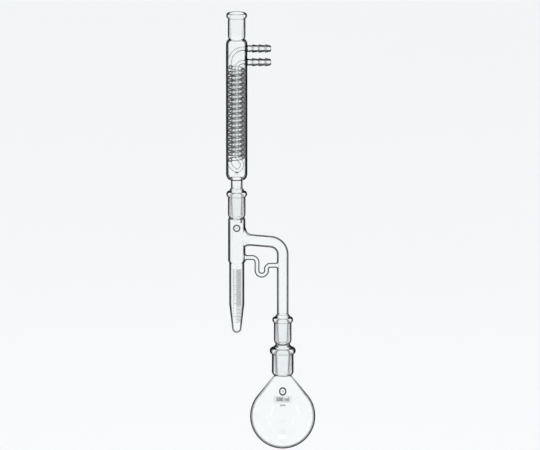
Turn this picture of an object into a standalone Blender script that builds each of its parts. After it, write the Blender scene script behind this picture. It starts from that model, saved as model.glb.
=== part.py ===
"""Extraction and distillation glassware: a pear-shaped flask, a joint adapter, a graduated receiver with
its vapour arm and return trap, and a coil condenser, each held in the next by a ground taper joint.

Blender 4.5, metres, +Z up. The origin is on the flask's axis, halfway up its neck, where a stand's clamp
grips the apparatus. The receiver and the condenser stand on a second axis on the -X side, and the hose
nozzles point to +X.
"""

import math

import bmesh
import bpy
from mathutils import Vector

MM = 0.001

# Fits between pieces
WELD_GAP = 0.3 * MM  # left between two tubes that a glassblower fuses
WELD_LAND = 1.0 * MM  # how far a bent tube runs straight before a weld
SEAT_GAP = 0.3 * MM  # between a ground cone and its socket, across the glass
PRINT_GAP = 0.3 * MM  # between printed enamel and the glass under it
COIL_CLEARANCE = 1.5 * MM  # between the coil and the jacket round it
DRIP_CLEARANCE = 1.5 * MM  # between the condenser's drip tube and the receiver's waist

# Glass walls
TUBE_WALL = 1.5 * MM
CONE_WALL = 2.0 * MM
COIL_WALL = 0.9 * MM
RETURN_WALL = 1.1 * MM
FLASK_WALL = 1.8 * MM
PRINT_THICKNESS = 0.3 * MM

# Ground joints: both taper by 1 in 10 on the diameter
TAPER = 0.1
SMALL_MOUTH = 24.0 * MM
SMALL_LENGTH = 40.0 * MM
SMALL_WALL = 2.0 * MM
SMALL_BEAD = 2.5 * MM  # how far the mouth's bead stands out of the socket
SMALL_BEAD_HEIGHT = 8.0 * MM
LARGE_MOUTH = 29.2 * MM
LARGE_LENGTH = 42.0 * MM
LARGE_WALL = 2.7 * MM
LARGE_BEAD = 3.4 * MM
LARGE_BEAD_HEIGHT = 9.5 * MM
MOUTH_LEAD = 0.6 * MM  # rim above the ground zone
SOCKET_FOOT = 0.9 * MM  # waist below the ground zone
WAIST_WALL = 1.5 * MM
FOOT_ROUND = 5.0 * MM  # height of the curve from a socket's body to its waist
RIM_LAND = 0.8 * MM  # the mouth's funnel, from the ground bore to the flat rim

# Flask
FLASK_DIAMETER = 104.0 * MM
WAIST_TO_CENTRE = 67.7 * MM
PATCH_WIDTH = 30.0 * MM
PATCH_HEIGHT = 13.0 * MM
PATCH_BELOW_WAIST = 29.0 * MM

# Adapter
ADAPTER_NECK = 8.0 * MM  # from the flask's rim to the adapter's waist

# Receiver
AXIS_SPACING = 73.0 * MM  # from the flask's axis to the receiver's
RISER_DIAMETER = 18.4 * MM
RISER_SHANK = 15.0 * MM  # the cone's own tube, up to its weld
CONE_COLLAR = 1.5 * MM  # how far a cone's full width stands above its socket's rim
CONE_SHOULDER = 5.0 * MM  # from a cone's collar to its shank
ARM_CORNER_RISE = 121.2 * MM  # from the adapter's rim to where the arm meets the riser's axis
ARM_SLOPE = math.radians(5)
ARM_BEND = 20.6 * MM
RETURN_DIAMETER = 7.8 * MM
OVERFLOW_RISE = 97.2 * MM  # return tube's upper end, above the adapter's rim
RETURN_DROP = 12.7 * MM  # from the upper end down to the lower end, in the riser
TRAP_DEPTH = 28.7 * MM  # from the upper end down to the middle of the U-bend
TRAP_LEFT = 40.8 * MM  # from the riser's axis to the U-bend's outer leg
TRAP_WIDTH = 15.0 * MM
RETURN_UPPER_BEND = 7.8 * MM
RETURN_LOWER_BEND = 6.0 * MM
CHAMBER_SHOULDER = 2.3 * MM  # how far the chamber stands out of its waist
CHAMBER_SHOULDER_HEIGHT = 4.0 * MM
CHAMBER_ABOVE_OVERFLOW = 65.6 * MM  # from the overflow up to the chamber's waist
CHAMBER_BELOW_OVERFLOW = 7.0 * MM
CHAMBER_STEP = 1.8 * MM  # how much narrower the graduated tube is, on its radius
CHAMBER_STEP_HEIGHT = 2.6 * MM
GRADUATED_STRAIGHT = 68.2 * MM
GRADUATED_TAPER = 39.5 * MM
GRADUATED_TIP_RADIUS = 7.3 * MM
MILLILITRE = 1e-6
SCALE_CAPACITY = 29  # millilitres at the top line
SCALE_LOWEST = 3
SCALE_LONG_EVERY = 5
SCALE_LINE = 0.6 * MM
SCALE_LONG_LINE = 10.0 * MM
SCALE_SHORT_LINE = 5.5 * MM
SCALE_SPINE = 1.0 * MM

# Condenser
STEM_WELD_RISE = 17.4 * MM  # from the receiver's rim up to the weld of stem and jacket
STEM_DIAMETER = 18.6 * MM
DRIP_TUBE_LENGTH = 10.3 * MM  # below the ground cone, at its longest side
DRIP_TUBE_TURN_IN = 1.0 * MM  # height over which it narrows from the cone's end
DRIP_TUBE_SLANT = math.radians(24)
JACKET_LENGTH = 208.5 * MM  # the straight part
JACKET_SHOULDER = 5.5 * MM  # how far the jacket stands out of its upper waist
JACKET_TOP_ROUND = 8.5 * MM
JACKET_BASE_ROUND = 12.6 * MM
COIL_TUBE_DIAMETER = 6.5 * MM
COIL_TURN_GAP = 1.2 * MM
COIL_RISE = 16.5 * MM  # from the foot of the jacket's straight part up to the coil's foot
COIL_TURN_IN = math.radians(70)  # of a turn spent between upright and winding
COIL_LEAD_RISE = 6.0 * MM
OUTLET_BEND = 22.0 * MM
INLET_BEND = 10.0 * MM
DRIP_LOOP_LEG = 3.0 * MM  # straight tube between the coil's foot and the curve of the drip bend
DRIP_LOOP_DEPTH = 9.6 * MM
DRIP_LOOP_RIGHT = 8.5 * MM  # from the axis to the side that gathers in to the return tube
DRIP_LOOP_NECK = 17.0 * MM  # height over which it gathers in
DRIP_POINT_LENGTH = 5.5 * MM
DRIP_POINT_RADIUS = 2.6 * MM
DRIP_POINT_TIP_RADIUS = 1.1 * MM  # halfway down
OUTLET_BELOW_TOP = 7.2 * MM  # below the jacket's straight part's top
NOZZLE_SPACING = 22.0 * MM
NOZZLE_LENGTH = 37.5 * MM  # out of the jacket's wall
NOZZLE_ROOT = 4.0 * MM  # trimmed to the jacket's round wall
NOZZLE_BORE = 5.4 * MM
NOZZLE_NECK = 7.0 * MM  # plain tube before the first barb
NOZZLE_TIP = 1.6 * MM  # length and radius of its rounded end
BARB_COUNT = 3
BARB_DIAMETER = 12.8 * MM
BARB_ROOT_DIAMETER = 10.8 * MM
BARB_STEP = 1.6 * MM  # length of a barb's steep side

# Fineness of the facets
SEGMENTS = 24
BULB_SEGMENTS = 32
COIL_POINTS_PER_TURN = 12
COIL_LEAD_STEPS = 5
BEND_STEP = math.radians(18)
SHORTEST_STEP = 0.2 * MM
MERGE_DISTANCE = 0.01 * MM
CUTTER_OVERRUN = 20.0 * MM
EMPTY_SIZE = 30.0 * MM


class GroundJoint:
    """One standard taper: the sizes that a socket and the cone in it share."""

    def __init__(self, mouth, length, wall, bead, bead_height):
        self.mouth = mouth / 2
        self.length = length
        self.small_end = mouth / 2 - TAPER * length / 2
        self.body = mouth / 2 + wall
        self.bead = self.body + bead
        self.bead_height = bead_height
        self.waist = self.small_end + WAIST_WALL
        self.height = MOUTH_LEAD + length + SOCKET_FOOT


SMALL = GroundJoint(SMALL_MOUTH, SMALL_LENGTH, SMALL_WALL, SMALL_BEAD, SMALL_BEAD_HEIGHT)
LARGE = GroundJoint(LARGE_MOUTH, LARGE_LENGTH, LARGE_WALL, LARGE_BEAD, LARGE_BEAD_HEIGHT)

# Heights, upwards from the clamp at 0
FLASK_WAIST_Z = -LARGE.height / 2
FLASK_RIM_Z = LARGE.height / 2
FLASK_CENTRE_Z = FLASK_WAIST_Z - WAIST_TO_CENTRE
ADAPTER_WAIST_Z = FLASK_RIM_Z + ADAPTER_NECK
ADAPTER_RIM_Z = ADAPTER_WAIST_Z + SMALL.height
RISER_WELD_Z = ADAPTER_RIM_Z + RISER_SHANK
ARM_CORNER_Z = ADAPTER_RIM_Z + ARM_CORNER_RISE
OVERFLOW_Z = ADAPTER_RIM_Z + OVERFLOW_RISE
CHAMBER_BASE_Z = OVERFLOW_Z - CHAMBER_BELOW_OVERFLOW
RECEIVER_WAIST_Z = OVERFLOW_Z + CHAMBER_ABOVE_OVERFLOW
RECEIVER_RIM_Z = RECEIVER_WAIST_Z + SMALL.height
STEM_WELD_Z = RECEIVER_RIM_Z + STEM_WELD_RISE
JACKET_BASE_Z = STEM_WELD_Z + JACKET_BASE_ROUND
JACKET_TOP_Z = JACKET_BASE_Z + JACKET_LENGTH
CONDENSER_WAIST_Z = JACKET_TOP_Z + JACKET_TOP_ROUND
CONDENSER_RIM_Z = CONDENSER_WAIST_Z + SMALL.height
OUTLET_Z = JACKET_TOP_Z - OUTLET_BELOW_TOP
INLET_Z = OUTLET_Z - NOZZLE_SPACING

# Radii that follow from others
RISER_RADIUS = RISER_DIAMETER / 2
RETURN_RADIUS = RETURN_DIAMETER / 2
STEM_RADIUS = STEM_DIAMETER / 2
COIL_TUBE_RADIUS = COIL_TUBE_DIAMETER / 2
CHAMBER_RADIUS = SMALL.waist + CHAMBER_SHOULDER
GRADUATED_RADIUS = CHAMBER_RADIUS - CHAMBER_STEP
DRIP_TUBE_RADIUS = SMALL.waist - TUBE_WALL - DRIP_CLEARANCE
JACKET_RADIUS = SMALL.waist + JACKET_SHOULDER
COIL_RADIUS = JACKET_RADIUS - TUBE_WALL - COIL_CLEARANCE - COIL_TUBE_RADIUS

# The coil's heights
COIL_PITCH = COIL_TUBE_DIAMETER + COIL_TURN_GAP
COIL_FOOT_Z = JACKET_BASE_Z + COIL_RISE
COIL_ENDS = 2 * (WELD_LAND + COIL_LEAD_RISE)
COIL_TURNS = int((INLET_Z - COIL_FOOT_Z - COIL_ENDS) / COIL_PITCH)
COIL_HEAD_Z = COIL_FOOT_Z + COIL_ENDS + COIL_TURNS * COIL_PITCH
DRIP_LOOP_Z = COIL_FOOT_Z - DRIP_LOOP_LEG
RETURN_FOOT_Z = DRIP_LOOP_Z + DRIP_LOOP_NECK

model = None
cutters = None


def start_scene():
    """Clears the scene and makes the two collections that the pieces and the cutters go in."""
    global model, cutters
    for old in list(bpy.data.objects):
        bpy.data.objects.remove(old)
    model = bpy.data.collections.new("extraction_glassware")
    cutters = bpy.data.collections.new("cutters")
    for collection in (model, cutters):
        bpy.context.scene.collection.children.link(collection)
    cutters.hide_render = True


def principled(name, colour, roughness, transmission=0.0):
    """A Principled material, made once for each name."""
    material = bpy.data.materials.new(name)
    material.use_nodes = True
    shader = material.node_tree.nodes["Principled BSDF"]
    shader.inputs["Base Color"].default_value = (*colour, 1)
    shader.inputs["Roughness"].default_value = roughness
    shader.inputs["Metallic"].default_value = 0
    shader.inputs["Transmission Weight"].default_value = transmission
    shader.inputs["IOR"].default_value = 1.47
    material.diffuse_color = (*colour, 1)
    return material


def arc(centre, radii, start, end, steps):
    """Points of a circular or elliptic arc in (radius, height), from one angle to the other in degrees."""
    found = []
    for step in range(steps + 1):
        angle = math.radians(start + (end - start) * step / steps)
        found.append((centre[0] + radii[0] * math.cos(angle), centre[1] + radii[1] * math.sin(angle)))
    return found


def tangent_side(point, radius, centre_z, steps):
    """A straight side from a point down to a ball, then the ball's outline down to its pole."""
    across, up = point[0], point[1] - centre_z
    distance = math.hypot(across, up)
    touch = math.atan2(up, across) - math.acos(radius / distance)
    return [point] + arc((0, centre_z), (radius, radius), math.degrees(touch), -90, steps)


def add_to_model(obj, material, body):
    """Files a finished piece under its material and the empty of its body, without moving it."""
    obj.data.materials.clear()
    obj.data.materials.append(material)
    model.objects.link(obj)
    obj.parent = body
    obj.matrix_parent_inverse = body.matrix_world.inverted()
    return obj


def turned(name, outline, material, body, x=0.0, segments=SEGMENTS, closed=True):
    """A piece turned about an upright axis at x. The outline runs down the outside, then up the inside."""
    mesh = bpy.data.meshes.new(name)
    count = len(outline)
    edges = [(i, i + 1) for i in range(count - 1)]
    if closed:
        edges.append((count - 1, 0))
    mesh.from_pydata([(radius, 0, z) for radius, z in outline], edges, [])
    obj = bpy.data.objects.new(name, mesh)
    obj.location.x = x
    screw = obj.modifiers.new("turn", "SCREW")
    screw.axis = "Z"
    screw.steps = segments
    screw.render_steps = segments
    screw.use_merge_vertices = True
    screw.merge_threshold = MERGE_DISTANCE
    return add_to_model(obj, material, body)


def cylinder_cutter(name, radius, start, end, segments=SEGMENTS):
    """A solid rod between two points, used only to cut."""
    axis = end - start
    bpy.ops.mesh.primitive_cylinder_add(
        vertices=segments, radius=radius, depth=axis.length, location=(start + end) / 2
    )
    return as_cutter(bpy.context.object, name, axis.to_track_quat("Z", "Y").to_euler())


def as_cutter(obj, name, rotation):
    """Turns a fresh primitive and files it with the cutters."""
    obj.name = name
    obj.rotation_euler = rotation
    obj.display_type = "WIRE"
    obj.hide_render = True
    for collection in list(obj.users_collection):
        collection.objects.unlink(obj)
    cutters.objects.link(obj)
    return obj


def cut(obj, cutter, operation="DIFFERENCE"):
    boolean = obj.modifiers.new(cutter.name, "BOOLEAN")
    boolean.operation = operation
    boolean.object = cutter
    boolean.solver = "EXACT"
    return obj


def fillet(corner, before, after, radius):
    """Points of the bend that rounds one corner of a route."""
    into = (before - corner).normalized()
    out = (after - corner).normalized()
    half = into.angle(out) / 2
    reach = radius / math.tan(half)
    centre = corner + (into + out).normalized() * (radius / math.sin(half))
    turn = math.pi - 2 * half
    steps = max(2, math.ceil(turn / BEND_STEP))
    first = (corner + into * reach - centre).normalized()
    second = (corner + out * reach - centre).normalized()
    return [centre + first.slerp(second, step / steps) * radius for step in range(steps + 1)]


def rounded_route(corners, radii):
    """A tube's centreline: straight runs between the corners, with a bend of each given radius."""
    bends = [corners[0]]
    for i, radius in enumerate(radii, start=1):
        bends += fillet(corners[i], corners[i - 1], corners[i + 1], radius)
    route = []
    for point in bends + [corners[-1]]:
        if not route or (point - route[-1]).length > SHORTEST_STEP:
            route.append(point)
    return route


def meshed(curve, name):
    """A curve's solid as a mesh, with its caps joined to its sides."""
    guide = bpy.data.objects.new(name, curve)
    bpy.context.scene.collection.objects.link(guide)
    graph = bpy.context.evaluated_depsgraph_get()
    mesh = bpy.data.meshes.new_from_object(guide.evaluated_get(graph))
    mesh.name = name
    bpy.data.objects.remove(guide)
    shape = bmesh.new()
    shape.from_mesh(mesh)
    bmesh.ops.remove_doubles(shape, verts=shape.verts, dist=MERGE_DISTANCE)
    shape.to_mesh(mesh)
    shape.free()
    return mesh


def bent_tube(name, route, radius, wall, material, body):
    """A tube along a route: hollow and open at both ends, or a solid rod where the wall is 0."""
    curve = bpy.data.curves.new(name + "_centreline", "CURVE")
    curve.dimensions = "3D"
    curve.bevel_depth = radius
    curve.bevel_resolution = 2
    curve.use_fill_caps = wall == 0
    spline = curve.splines.new("POLY")
    spline.points.add(len(route) - 1)
    for point, place in zip(spline.points, route):
        point.co = (*place, 1)
    obj = bpy.data.objects.new(name, meshed(curve, name))
    if wall:
        shell = obj.modifiers.new("wall", "SOLIDIFY")
        shell.thickness = wall
        shell.offset = -1
        shell.use_even_offset = True
    return add_to_model(obj, material, body)


def in_plane(x, z):
    """A point in the plane of the two axes."""
    return Vector((x, 0, z))


def socket(name, joint, rim_z, material, body, x=0.0):
    """A ground socket with its beaded mouth, down to its waist."""
    waist_z = rim_z - joint.height
    bead_radius = joint.mouth + (joint.bead - joint.mouth) / 2
    bead_half = joint.bead_height / 2
    outline = arc((bead_radius, rim_z - bead_half), (joint.bead - bead_radius, bead_half), 90, -60, 6)
    outline.append((joint.body, rim_z - joint.bead_height))
    outline += arc(
        (joint.waist, waist_z + FOOT_ROUND), (joint.body - joint.waist, FOOT_ROUND), 0, -90, 4
    )
    outline.append((joint.waist - TUBE_WALL, waist_z))
    outline.append((joint.small_end, waist_z + SOCKET_FOOT))
    outline.append((joint.mouth, rim_z - MOUTH_LEAD))
    outline.append((joint.mouth + RIM_LAND, rim_z))
    return turned(name, outline, material, body, x)


def cone(name, joint, rim_z, shank_radius, weld_z, material, body, x=0.0, drip_tube=0.0):
    """A ground cone as it sits in a socket whose rim is at rim_z, with its shank up to a weld."""
    top_z = rim_z - MOUTH_LEAD
    end_z = top_z - joint.length
    top = joint.mouth - SEAT_GAP
    end = joint.small_end - SEAT_GAP
    collar_z = rim_z + CONE_COLLAR
    shoulder_z = min(collar_z + CONE_SHOULDER, weld_z - WELD_LAND)
    side = [(shank_radius, weld_z), (shank_radius, shoulder_z), (top, collar_z), (top, top_z), (end, end_z)]
    bore = [
        (shank_radius - TUBE_WALL, weld_z),
        (shank_radius - TUBE_WALL, shoulder_z),
        (top - CONE_WALL, collar_z),
        (end - CONE_WALL, end_z),
    ]
    if drip_tube:
        start_z = end_z - DRIP_TUBE_TURN_IN
        side += [(DRIP_TUBE_RADIUS, start_z), (DRIP_TUBE_RADIUS, end_z - drip_tube)]
        bore += [(radius - TUBE_WALL, z) for radius, z in side[-2:]]
    return turned(name, side + bore[::-1], material, body, x)


def make_flask(glass, enamel, body):
    socket("flask_socket", LARGE, FLASK_RIM_Z, glass, body)
    top_z = FLASK_WAIST_Z - WELD_GAP
    radius = FLASK_DIAMETER / 2
    outside = tangent_side((LARGE.waist, top_z), radius, FLASK_CENTRE_Z, 16)
    inside = tangent_side((LARGE.waist - FLASK_WALL, top_z), radius - FLASK_WALL, FLASK_CENTRE_Z, 14)
    turned("flask_bulb", inside[::-1] + outside, glass, body, segments=BULB_SEGMENTS, closed=False)

    touch = outside[1]
    middle_z = FLASK_WAIST_Z - PATCH_BELOW_WAIST

    def cone_side(z, lift):
        """A point lifted off the flask's straight side, level with z."""
        share = (top_z - z) / (top_z - touch[1])
        return (LARGE.waist + (touch[0] - LARGE.waist) * share + lift, z)

    slant = math.hypot(1, (touch[0] - LARGE.waist) / (top_z - touch[1]))
    near, far = PRINT_GAP * slant, (PRINT_GAP + PRINT_THICKNESS) * slant
    upper_z, lower_z = middle_z + PATCH_HEIGHT / 2, middle_z - PATCH_HEIGHT / 2
    band = [cone_side(upper_z, far), cone_side(lower_z, far)]
    band += [cone_side(lower_z, near), cone_side(upper_z, near)]
    patch = turned("write_on_patch", band, enamel, body, segments=BULB_SEGMENTS)
    cut(patch, front_slab("patch_window", PATCH_WIDTH, middle_z, PATCH_HEIGHT * 2, radius, 0), "INTERSECT")


def front_slab(name, width, middle_z, height, depth, x):
    """A block in front of an axis, used to keep only the front of a turned band."""
    bpy.ops.mesh.primitive_cube_add(size=1, location=(x, -depth / 2, middle_z), scale=(width, depth, height))
    return as_cutter(bpy.context.object, name, (0, 0, 0))


def make_adapter(glass, body):
    socket("adapter_socket", SMALL, ADAPTER_RIM_Z, glass, body)
    cone("adapter_cone", LARGE, FLASK_RIM_Z, SMALL.waist, ADAPTER_WAIST_Z - WELD_GAP, glass, body)


def level_at(volume):
    """The height in the graduated tube that a volume of liquid fills it to."""
    inner = GRADUATED_RADIUS - TUBE_WALL
    tip = GRADUATED_TIP_RADIUS - TUBE_WALL
    top_z, taper_z, tip_z = graduated_heights()
    profile = tangent_side((inner, taper_z), tip, tip_z, 24)[::-1] + [(inner, top_z)]
    filled = 0.0
    for (low_r, low_z), (high_r, high_z) in zip(profile, profile[1:]):
        height = high_z - low_z
        slice_volume = math.pi * height * (low_r**2 + low_r * high_r + high_r**2) / 3
        if filled + slice_volume >= volume:
            return low_z + height * (volume - filled) / slice_volume
        filled += slice_volume
    return top_z


def graduated_heights():
    top_z = CHAMBER_BASE_Z - WELD_GAP
    taper_z = top_z - GRADUATED_STRAIGHT
    return top_z, taper_z, taper_z - GRADUATED_TAPER


def scale_comb(x):
    """The printed scale's flat outline: an upright line with a line across for each millilitre."""
    left = x - SCALE_LONG_LINE / 2
    levels = [level_at(volume * MILLILITRE) for volume in range(SCALE_LOWEST, SCALE_CAPACITY + 1)]
    points = [(left, levels[0] - SCALE_LINE / 2)]
    for volume, z in enumerate(levels, start=SCALE_LOWEST):
        length = SCALE_LONG_LINE if volume % SCALE_LONG_EVERY == 0 else SCALE_SHORT_LINE
        points += [(left + SCALE_SPINE, z - SCALE_LINE / 2), (left + length, z - SCALE_LINE / 2)]
        points += [(left + length, z + SCALE_LINE / 2), (left + SCALE_SPINE, z + SCALE_LINE / 2)]
    points += [(left, levels[-1] + SCALE_LINE / 2)]
    return [point for i, point in enumerate(points) if i != 1]


def extruded_outline(name, points, depth):
    """A cutter with a flat outline in the plane of the two axes, thickened towards the front."""
    curve = bpy.data.curves.new(name, "CURVE")
    curve.dimensions = "2D"
    curve.fill_mode = "BOTH"
    curve.extrude = depth / 2
    spline = curve.splines.new("POLY")
    spline.points.add(len(points) - 1)
    spline.use_cyclic_u = True
    for point, (across, up) in zip(spline.points, points):
        point.co = (across, up, 0, 1)
    obj = bpy.data.objects.new(name, meshed(curve, name))
    bpy.context.scene.collection.objects.link(obj)
    obj.location.y = -depth / 2
    return as_cutter(obj, name, (math.radians(90), 0, 0))


def make_receiver(glass, enamel, body):
    x = -AXIS_SPACING
    socket("receiver_socket", SMALL, RECEIVER_RIM_Z, glass, body, x)

    arm_start = in_plane(x, ARM_CORNER_Z + AXIS_SPACING * math.tan(ARM_SLOPE))
    arm_corner = in_plane(0, ARM_CORNER_Z)
    riser_foot = in_plane(0, RISER_WELD_Z)
    arm = bent_tube(
        "vapour_arm", rounded_route([arm_start, arm_corner, riser_foot], [ARM_BEND]),
        RISER_RADIUS, TUBE_WALL, glass, body,
    )

    return_top = in_plane(x, OVERFLOW_Z)
    return_end = in_plane(0, OVERFLOW_Z - RETURN_DROP)
    trap_z = OVERFLOW_Z - TRAP_DEPTH
    trap_right = TRAP_LEFT - TRAP_WIDTH
    corners = [
        return_top,
        in_plane(-TRAP_LEFT, OVERFLOW_Z),
        in_plane(-TRAP_LEFT, trap_z),
        in_plane(-trap_right, trap_z),
        in_plane(-trap_right, OVERFLOW_Z - RETURN_DROP),
        return_end,
    ]
    bends = [RETURN_UPPER_BEND, TRAP_WIDTH / 2, TRAP_WIDTH / 2, RETURN_LOWER_BEND]
    return_tube = bent_tube(
        "return_tube", rounded_route(corners, bends), RETURN_RADIUS, RETURN_WALL, glass, body
    )

    upper_z, lower_z = RECEIVER_WAIST_Z - WELD_GAP, CHAMBER_BASE_Z
    wall = [
        *arc(
            (SMALL.waist, upper_z - CHAMBER_SHOULDER_HEIGHT),
            (CHAMBER_SHOULDER, CHAMBER_SHOULDER_HEIGHT), 90, 0, 4,
        ),
        (CHAMBER_RADIUS, lower_z + CHAMBER_STEP_HEIGHT),
        (GRADUATED_RADIUS, lower_z),
    ]
    chamber = turned(
        "receiver_chamber", wall + [(radius - TUBE_WALL, z) for radius, z in wall[::-1]], glass, body, x
    )
    cut(chamber, cylinder_cutter("arm_hole", RISER_RADIUS - TUBE_WALL, arm_start, arm_corner))
    cut(chamber, cylinder_cutter("overflow_hole", RETURN_RADIUS - RETURN_WALL, return_top, corners[1]))
    core_foot, core_head = in_plane(x, lower_z - CUTTER_OVERRUN), in_plane(x, upper_z + CUTTER_OVERRUN)
    chamber_core = cylinder_cutter("chamber_core", CHAMBER_RADIUS + WELD_GAP, core_foot, core_head)
    cut(arm, chamber_core)
    cut(return_tube, chamber_core)
    cut(arm, cylinder_cutter("return_hole", RETURN_RADIUS - RETURN_WALL, return_end, corners[4]))
    riser_core = cylinder_cutter("riser_core", RISER_RADIUS + WELD_GAP, riser_foot, arm_corner)
    cut(return_tube, riser_core)

    cone("vapour_cone", SMALL, ADAPTER_RIM_Z, RISER_RADIUS, RISER_WELD_Z - WELD_GAP, glass, body)

    top_z, taper_z, tip_z = graduated_heights()
    outside = [(GRADUATED_RADIUS, top_z)]
    outside += tangent_side((GRADUATED_RADIUS, taper_z), GRADUATED_TIP_RADIUS, tip_z, 6)
    inner_radius, inner_tip = GRADUATED_RADIUS - TUBE_WALL, GRADUATED_TIP_RADIUS - TUBE_WALL
    inside = [(inner_radius, top_z)] + tangent_side((inner_radius, taper_z), inner_tip, tip_z, 6)
    turned("graduated_tube", inside[::-1] + outside, glass, body, x, closed=False)

    near, far = PRINT_GAP, PRINT_GAP + PRINT_THICKNESS
    skin = [(GRADUATED_RADIUS, top_z - SCALE_LINE), *outside[1:3]]
    band = [(radius + far, z) for radius, z in skin] + [(radius + near, z) for radius, z in skin[::-1]]
    scale = turned("graduation_scale", band, enamel, body, x)
    cut(scale, extruded_outline("scale_lines", scale_comb(x), GRADUATED_RADIUS * 2), "INTERSECT")


def coil_route(x):
    """The coil's centreline: an upright foot that leans over into the turns, and an upright head."""
    lead = [(0, 0)]
    for step in range(COIL_LEAD_STEPS):
        lean = step / COIL_LEAD_STEPS
        turned_by = COIL_TURN_IN * lean**2
        risen = COIL_LEAD_RISE * (2 * lean - lean**2) + COIL_PITCH * turned_by / math.tau
        lead.append((turned_by, WELD_LAND + risen))
    whole_turn = COIL_TURNS * math.tau
    wound = whole_turn - 2 * COIL_TURN_IN
    count = math.ceil(wound / math.tau * COIL_POINTS_PER_TURN)
    turns = [COIL_TURN_IN + wound * step / count for step in range(count + 1)]
    winding = [(turn, WELD_LAND + COIL_LEAD_RISE + COIL_PITCH * turn / math.tau) for turn in turns]
    whole_rise = COIL_HEAD_Z - COIL_FOOT_Z
    tail = [(whole_turn - turn, whole_rise - rise) for turn, rise in reversed(lead)]
    return [
        Vector((x - COIL_RADIUS * math.cos(turn), -COIL_RADIUS * math.sin(turn), COIL_FOOT_Z + rise))
        for turn, rise in lead + winding + tail
    ]


def side_step(start, end):
    """An S-bend between two upright runs, without its first point."""
    across, up = end.x - start.x, end.z - start.z
    steps = max(4, 2 * math.ceil(2 * math.atan2(abs(across), abs(up)) / BEND_STEP))
    shares = [step / steps for step in range(1, steps + 1)]
    return [start + in_plane(across * (3 - 2 * share) * share**2, up * share) for share in shares]


def nozzle(name, z, glass, body, x):
    """A serrated hose nozzle that points to +X from the jacket. Its outline is drawn upright."""
    root = BARB_ROOT_DIAMETER / 2
    pitch = (NOZZLE_LENGTH - NOZZLE_NECK) / BARB_COUNT
    outline = [(root, -NOZZLE_ROOT)]
    for barb in range(BARB_COUNT):
        step = NOZZLE_NECK + barb * pitch
        outline += [(root, step), (BARB_DIAMETER / 2, step + BARB_STEP)]
    outline += arc((root - NOZZLE_TIP, NOZZLE_LENGTH - NOZZLE_TIP), (NOZZLE_TIP, NOZZLE_TIP), 0, 75, 3)
    outline.append((root - NOZZLE_TIP, NOZZLE_LENGTH))
    outline = outline[::-1] + [(NOZZLE_BORE / 2, -NOZZLE_ROOT), (NOZZLE_BORE / 2, NOZZLE_LENGTH)]
    piece = turned(name, outline, glass, body)
    piece.location = (x + JACKET_RADIUS, 0, z)
    piece.rotation_euler.y = math.radians(90)
    return piece


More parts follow.
